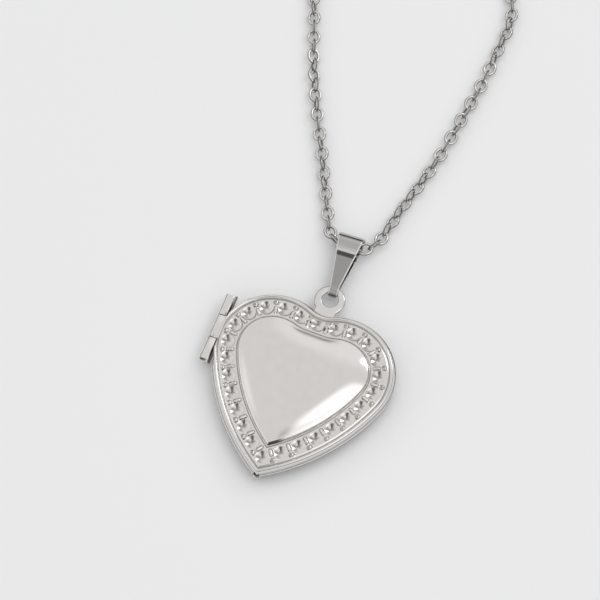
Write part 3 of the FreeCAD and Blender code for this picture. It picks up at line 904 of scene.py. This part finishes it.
def rounded_box_section(half_w, half_t, r, count=4, flat=()):
    """The closed outline of a strip's cross section. flat adds points across its faces."""
    points = []
    for sx, sz, first in ((1, 1, 0), (-1, 1, 90), (-1, -1, 180), (1, -1, 270)):
        for i in range(count + 1):
            a = math.radians(first + 90 * i / count)
            points.append((sx * (half_w - r) + r * math.cos(a), sz * (half_t - r) + r * math.sin(a)))
        if sx == sz:
            points += [(sx * f * (half_w - r), sz * half_t) for f in flat]
    return points


BAIL_T, BAIL_EDGE_R = 0.3, 0.12
BAIL_HALF, BAIL_WIDENS, BAIL_TAPER_Y = 0.75, 1.4, (17.2, 26.5)
ROLL_Y, ROLL_Z, ROLL_R = 24.6, 1.95, 1.75       # the upper loop, round the chain
FOLD_Y, FOLD_Z, FOLD_R = 16.9, 2.1, 0.93        # the lower loop, through the ring tab
ROLL_FROM, ROLL_TO = 100, -96                   # degrees round the roll, from the step
# painted shade and dark reflections on the roll, back leaf, fold and front leaf
ROLL_PAINTED_SHADE, BACK_PAINTED_SHADE, FOLD_PAINTED_SHADE, LEAF_PAINTED_SHADE = 0.42, 0.3, 0.5, 0.58
FRONT_LEAF = [
    (17.6, 3.01), (18.6, 3.09), (19.6, 3.17), (20.6, 3.25), (21.4, 3.31), (21.9, 3.35), (22.2, 3.375),
]
STEP_UP = [                                     # y, z, painted shade; the dark stripe at the step is painted
    (22.3, 3.385, 0.95), (22.5, 3.4, 1), (22.85, 3.43, 1), (22.98, 3.47, 0.9), (23.06, 3.53, 0.05),
    (23.16, 3.565, 0), (23.4, 3.6, 0.2), (23.7, 3.635, 0.32), (24.0, 3.66, 0.4),
]


def bail_path():
    """The strip's line from the side, (y, z, painted shade): roll, back leaf, fold, front leaf, step."""
    def on_roll(degrees):
        a = math.radians(degrees)
        return ROLL_Y + ROLL_R * math.cos(a), ROLL_Z + ROLL_R * math.sin(a)

    rows = [(*on_roll(ROLL_FROM - i * (ROLL_FROM - ROLL_TO) / 32), ROLL_PAINTED_SHADE) for i in range(33)]
    y0, z0 = on_roll(ROLL_TO)
    y1, z1 = FOLD_Y, FOLD_Z - FOLD_R
    rows += [(y0 + (y1 - y0) * i / 9, z0 + (z1 - z0) * i / 9, BACK_PAINTED_SHADE) for i in range(1, 9)]
    for i in range(17):
        a = math.radians(-90 - i * 180 / 16)
        rows.append((FOLD_Y + FOLD_R * math.cos(a), FOLD_Z + FOLD_R * math.sin(a), FOLD_PAINTED_SHADE))
    return rows + [(y, z, LEAF_PAINTED_SHADE) for y, z in FRONT_LEAF] + STEP_UP


def add_bail():
    """A tapered strip: a wide roll over the chain, a step down, and a flat leaf to the tab."""
    rows = bail_path()
    path = np.array([row[:2] for row in rows])
    count = len(path)
    ahead = np.roll(path, -1, 0) - np.roll(path, 1, 0)
    ahead /= np.linalg.norm(ahead, axis=1)[:, None]
    out = np.column_stack([-ahead[:, 1], ahead[:, 0]])
    verts, painted_shade = [], []
    for (y, z, painted_dark), (ny, nz) in zip(rows, out):
        t = (y - BAIL_TAPER_Y[0]) / (BAIL_TAPER_Y[1] - BAIL_TAPER_Y[0])
        half = BAIL_HALF + BAIL_WIDENS * min(1.0, max(0.0, t))
        inner = 1 - BAIL_EDGE_R / (half - BAIL_EDGE_R)
        flat = (inner, inner * 0.5, 0, -inner * 0.5, -inner)
        section = rounded_box_section(half, BAIL_T / 2, BAIL_EDGE_R, flat=flat)
        for x, n in section:
            px, py = swing(x, y + ny * n)
            verts.append((px, py, z + nz * n))
            # painted shade across the strip's faces, faded out at its edges so they stay bright
            painted_shade.append(painted_dark * float(smooth(half - abs(x), 0.1, 0.22)))
    size = len(section)
    faces = ring_faces(count, size, closed=True)
    piece("bail_strip", verts, faces, BAIL_STEEL, "bail", ["bail"], sharp=50, painted_shade=painted_shade)


EYE_Y, DISC_Y, DISC_R, EYE_R = 15.25, 15.15, 2.4, 1.25
NECK_Y, NECK_HALF, NECK_FLARE = 11.95, 1.25, 0.45
TAB_MID = PART_Z - SEAM - 0.25
TAB_STEPS = 144
TAB_SECTION = [                # 0 from the hole or 1 from the rim, offset, height, painted shade (darker on the rolled edges)
    (0, 0, -0.12, 0.6), (0, 0, 0.1, 0.6), (0, 0.03, 0.18, 0.5), (0, 0.1, 0.235, 0.1),
    (0, 0.2, 0.25, 0), (1, -0.34, 0.25, 0), (1, -0.24, 0.235, 0.1), (1, -0.1, 0.19, 0.1),
    (1, -0.03, 0.1, 0.4), (1, 0, 0, 0.6), (1, -0.03, -0.1, 0.6), (1, -0.12, -0.2, 0.3),
    (1, -0.3, -0.25, 0), (0, 0.2, -0.25, 0), (0, 0.06, -0.21, 0.3),
]


def tab_reach():
    """How far the eyelet's rim is from the middle of its hole, in each direction."""
    outer = []
    off = EYE_Y - DISC_Y
    for j in range(TAB_STEPS):
        a = j / TAB_STEPS * 2 * math.pi
        c, d = math.cos(a), math.sin(a)
        reach = -d * off + math.sqrt(DISC_R**2 - (c * off) ** 2)
        if d < 0:
            neck = (EYE_Y - NECK_Y) / -d
            half = NECK_HALF + NECK_FLARE * float(smooth(-d * neck, 2.7, 3.3))
            if abs(c) > 1e-9:
                neck = min(neck, half / abs(c))
            reach = max(reach, neck)
        outer.append(reach)
    outer = np.array(outer)
    blur = outer.copy()
    for _ in range(3):
        blur = 0.25 * np.roll(blur, 1) + 0.5 * blur + 0.25 * np.roll(blur, -1)
    return np.maximum(blur, np.minimum(outer, DISC_R - 0.1))


def add_ring_tab():
    """The flat eyelet, its edges rolled, with a short neck into the back cover."""
    outer = tab_reach()
    angle = np.arange(TAB_STEPS) / TAB_STEPS * 2 * math.pi
    verts, painted_shade = [], []
    for from_rim, offset, height, painted_dark in TAB_SECTION:
        radius = np.where(from_rim, outer, EYE_R) + offset
        x, y = radius * np.cos(angle), EYE_Y + radius * np.sin(angle)
        verts.append(np.column_stack([x, y, np.full(TAB_STEPS, TAB_MID + height)]))
        painted_shade += [painted_dark] * TAB_STEPS
    faces = ring_faces(len(TAB_SECTION), TAB_STEPS, closed=True)
    piece("eyelet", np.concatenate(verts), faces, POLISHED, "back_half", ["ring_tab"],
          sharp=50, painted_shade=painted_shade)


def extruded(outer, inner, stations):
    """A bent sheet swept along Y. Each station is (y, how much thinner, how much wider)."""
    outer, inner = np.array(outer), np.array(inner)
    axis = np.array([HINGE_X, PART_Z])
    size = 2 * len(outer)
    verts = []
    for y, thin, flare in stations:
        middle = (outer + inner) / 2
        ring = np.concatenate([outer + (middle - outer) * thin, (inner + (middle - inner) * thin)[::-1]])
        near = np.linalg.norm(ring - axis, axis=1)[:, None] < 1.0
        ring = np.where(near, axis + (ring - axis) * (1 + flare), ring)
        verts += [(x, y, z) for x, z in ring]
    faces = ring_faces(len(stations), size)
    last = (len(stations) - 1) * size
    for i in range(len(outer) - 1):
        j = size - 1 - i
        faces.append((i, j, j - 1, i + 1))
        faces.append((last + i, last + i + 1, last + j - 1, last + j))
    return verts, faces


SLEEVE_R = 0.42
SQUARENESS = 2.4      # 2 is round
KNUCKLE_GAP = 0.05
STRAP_X = -13.68
STRAP_Z = (0.3, 0.75)          # from the parting plane
EDGE_Y, EDGE_THINS = 0.07, 0.55
PIN_ROWS = [                   # radius, y
    (0.02, -0.55), (0.14, -0.54), (0.22, -0.5), (0.27, -0.4), (0.28, -0.3),
    (0.28, 9.8), (0.27, 9.92), (0.22, 10.02), (0.14, 10.06), (0.02, 10.07),
]


def knuckle_band(side, fold=False):
    """A leaf's tongue round the pin: rolled right round, or folded over with an open end."""
    outer, inner = [], []
    for x in (-13.32, -13.6, -13.9):
        outer.append((x, PART_Z + side * KNUCKLE_R))
        inner.append((x, PART_Z + side * SLEEVE_R))
    for i in range(17 if fold else 29):
        a = side * math.radians(70 + i * 12)
        wide = (abs(math.cos(a)) ** SQUARENESS + abs(math.sin(a)) ** SQUARENESS) ** (-1 / SQUARENESS)
        reach = KNUCKLE_R * wide
        outer.append((HINGE_X + reach * math.cos(a), PART_Z + reach * math.sin(a)))
        inner.append((HINGE_X + SLEEVE_R * math.cos(a), PART_Z + SLEEVE_R * math.sin(a)))
    if fold:
        for x, drop in ((-14.2, 0), (-14.0, 0), (-13.75, 0.01), (-13.66, 0.04), (-13.62, 0.1)):
            outer.append((x, PART_Z - side * (KNUCKLE_R - drop)))
            inner.append((x, PART_Z - side * SLEEVE_R))
    return outer, inner


def stations(y0, y1, flare_low=0.0, flare_high=0.0):
    """Stations along a knuckle, thinned at its edges and flared towards either end."""
    rows = [(y0, EDGE_THINS, flare_low), (y0 + EDGE_Y, 0, flare_low)]
    if flare_low:
        rows += [(y0 + 0.6, 0, flare_low * 0.5), (y0 + 1.3, 0, 0)]
    if flare_high:
        rows += [(y1 - 1.3, 0, 0), (y1 - 0.6, 0, flare_high * 0.5)]
    return rows + [(y1 - EDGE_Y, 0, flare_high), (y1, EDGE_THINS, flare_high)]


def strap(side, y0, y1):
    """A leaf's strap with rounded edges, from the knuckles to the cover's wall."""
    r, verts = 0.05, []
    section = rounded_box_section((HINGE_WALL_X - STRAP_X) / 2, (STRAP_Z[1] - STRAP_Z[0]) / 2, r, 3)
    mx, mz = (STRAP_X + HINGE_WALL_X) / 2, PART_Z + side * (STRAP_Z[0] + STRAP_Z[1]) / 2
    for y, k in ((y0, 0.8), (y0 + r, 1), (y1 - r, 1), (y1, 0.8)):
        verts += [(mx + x * k, y, mz + z * k) for x, z in section]
    return verts, capped_faces(4, len(section))


def joined(parts):
    verts, faces = [], []
    for more, added in parts:
        faces += [tuple(i + len(verts) for i in f) for f in added]
        verts += list(more)
    return verts, faces


def hinge_shade(verts):
    """Dark inside the rolls and in the slot beside the cover, pale on top of the rolls."""
    place = np.array(verts, float)
    dx, dz = place[:, 0] - HINGE_X, place[:, 2] - PART_Z
    inside = smooth(np.hypot(dx, dz), 0.55, 0.47)
    beside = smooth(dx, 0.74, 0.82) * (np.abs(dz) > 0.25) * (place[:, 2] < PART_Z + 0.5)
    return np.clip(np.maximum(inside, beside), 0, 1)


def add_leaf(name, parts, body, replaced):
    verts, faces = joined(parts)
    painted_shade = hinge_shade(verts)
    piece(name, verts, faces, POLISHED, body, replaced, sharp=40, painted_shade=painted_shade)


def add_hinge():
    y0, y1, y2, y3 = HINGE_Y
    gap = KNUCKLE_GAP
    low = extruded(*knuckle_band(-1, True), stations(y0 + 0.1, y1 - gap, 0.16))
    top = extruded(*knuckle_band(-1, True), stations(y2 + gap, y3 - 0.4, 0, 0.08))
    add_leaf("leaf_back", [low, top, strap(-1, y0, y3)], "back_half", ["hinge_leaf_back"])
    middle = extruded(*knuckle_band(1), stations(y1 + gap, y2 - gap))
    add_leaf("leaf_front", [middle, strap(1, y1 + gap, y2 - gap)], "front_half", ["hinge_leaf_front"])

    def place(u, v, y):
        return HINGE_X + v, y, PART_Z + u

    verts, faces = turned(PIN_ROWS, 24, place)
    piece("pin", verts, faces, PIN_STEEL, "back_half", ["hinge_pin"], sharp=60)


# ================= studio =================
LIGHT_AIM = Vector((0, 5, 0))
# Each light: place and size in metres, radiance.
KEY = ((0.35, 0.62, 0.62), (0.22, 0.22), 3.0)
FILL = ((0.1, 0.1, 1.0), (1.0, 1.0), 0.8)
FLOOR_HALF, FLOOR_DROP = 1.6, 1e-5
FLOOR_TONE = (0.885, 0.89, 0.9)
SKY_TONE = (0.985, 0.98, 0.975, 1)
SKY_RISE = (0.15, 0.52)        # sine of the elevations where the dark horizon ends
SKY_LOW, SKY_HIGH = 0.04, 0.76
SKY_LOBES = [                  # direction, inner and outer angle in degrees, added radiance
    ((0.38, 0.05, 0.92), 3, 16, 0.6),
    ((0.60, -0.10, 0.79), 6, 26, 0.3),
    ((0.05, 0.75, 0.66), 8, 24, 0.12),
    ((-0.85, -0.25, 0.45), 8, 30, 0.25),
    ((0.14, -0.35, 0.93), 6, 15, -0.60),
]


def area_light(name, place, size, radiance):
    data = bpy.data.lights.new(name, "AREA")
    data.shape = "RECTANGLE"
    data.size, data.size_y = size
    data.energy = radiance * math.pi * size[0] * size[1]
    obj = bpy.data.objects.new(name, data)
    scene.collection.objects.link(obj)
    obj.location = place
    aim = LIGHT_AIM * MM - Vector(place)
    obj.rotation_euler = aim.to_track_quat("-Z", "Y").to_euler()
    return obj


def add_sky():
    """A soft studio: light above and dark low down, with four brighter lobes and a darker one."""
    world = bpy.data.worlds.new("studio")
    scene.world = world
    world.use_nodes = True
    nodes, links = world.node_tree.nodes, world.node_tree.links
    background = nodes["Background"]
    background.inputs["Color"].default_value = SKY_TONE
    place = nodes.new("ShaderNodeTexCoord")

    def math_node(kind, one, two):
        node = nodes.new("ShaderNodeMath")
        node.operation = kind
        for socket, value in zip(node.inputs, (one, two)):
            if isinstance(value, (int, float)):
                socket.default_value = value
            else:
                links.new(value, socket)
        return node.outputs[0]

    def toward(axis, low, high):
        """0 to 1 as a direction's component along axis goes from low to high."""
        dot = nodes.new("ShaderNodeVectorMath")
        dot.operation = "DOT_PRODUCT"
        links.new(place.outputs["Generated"], dot.inputs[0])
        dot.inputs[1].default_value = Vector(axis).normalized()
        ramp = nodes.new("ShaderNodeMapRange")
        ramp.interpolation_type = "SMOOTHSTEP"
        ramp.inputs["From Min"].default_value = low
        ramp.inputs["From Max"].default_value = high
        links.new(dot.outputs["Value"], ramp.inputs["Value"])
        return ramp.outputs[0]

    def lobe(axis, inner, outer):
        return toward(axis, math.cos(math.radians(outer)), math.cos(math.radians(inner)))

    low = toward((0, 0, 1), *SKY_RISE)
    sky = math_node("MULTIPLY_ADD", low, SKY_HIGH - SKY_LOW)
    sky.node.inputs[2].default_value = SKY_LOW
    for axis, inner, outer, gain in SKY_LOBES:
        sky = math_node("ADD", sky, math_node("MULTIPLY", lobe(axis, inner, outer), gain))
    links.new(math_node("MAXIMUM", sky, 0.02), background.inputs["Strength"])


def add_studio():
    add_sky()
    mesh = bpy.data.meshes.new("floor")
    corners = [(x * FLOOR_HALF, y * FLOOR_HALF, -FLOOR_DROP) for x, y in ((-1, -1), (1, -1), (1, 1), (-1, 1))]
    mesh.from_pydata(corners, [], [(0, 1, 2, 3)])
    mesh.materials.append(matt("floor", FLOOR_TONE, 3))
    floor = bpy.data.objects.new("floor", mesh)
    scene.collection.objects.link(floor)
    floor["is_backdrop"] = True
    area_light("key_far", *KEY)
    area_light("fill", *FILL).visible_glossy = False


add_camera()
add_chain()
add_covers()
add_bands()
add_bail()
add_ring_tab()
add_hinge()
for node in ("front_window", "back_window"):
    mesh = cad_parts[node].data
    mesh.materials.clear()
    mesh.materials.append(CLEAR)
add_studio()

boxes = [[[float(c) for c in corner] for corner in box] for box in (CAD_BOX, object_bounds())]
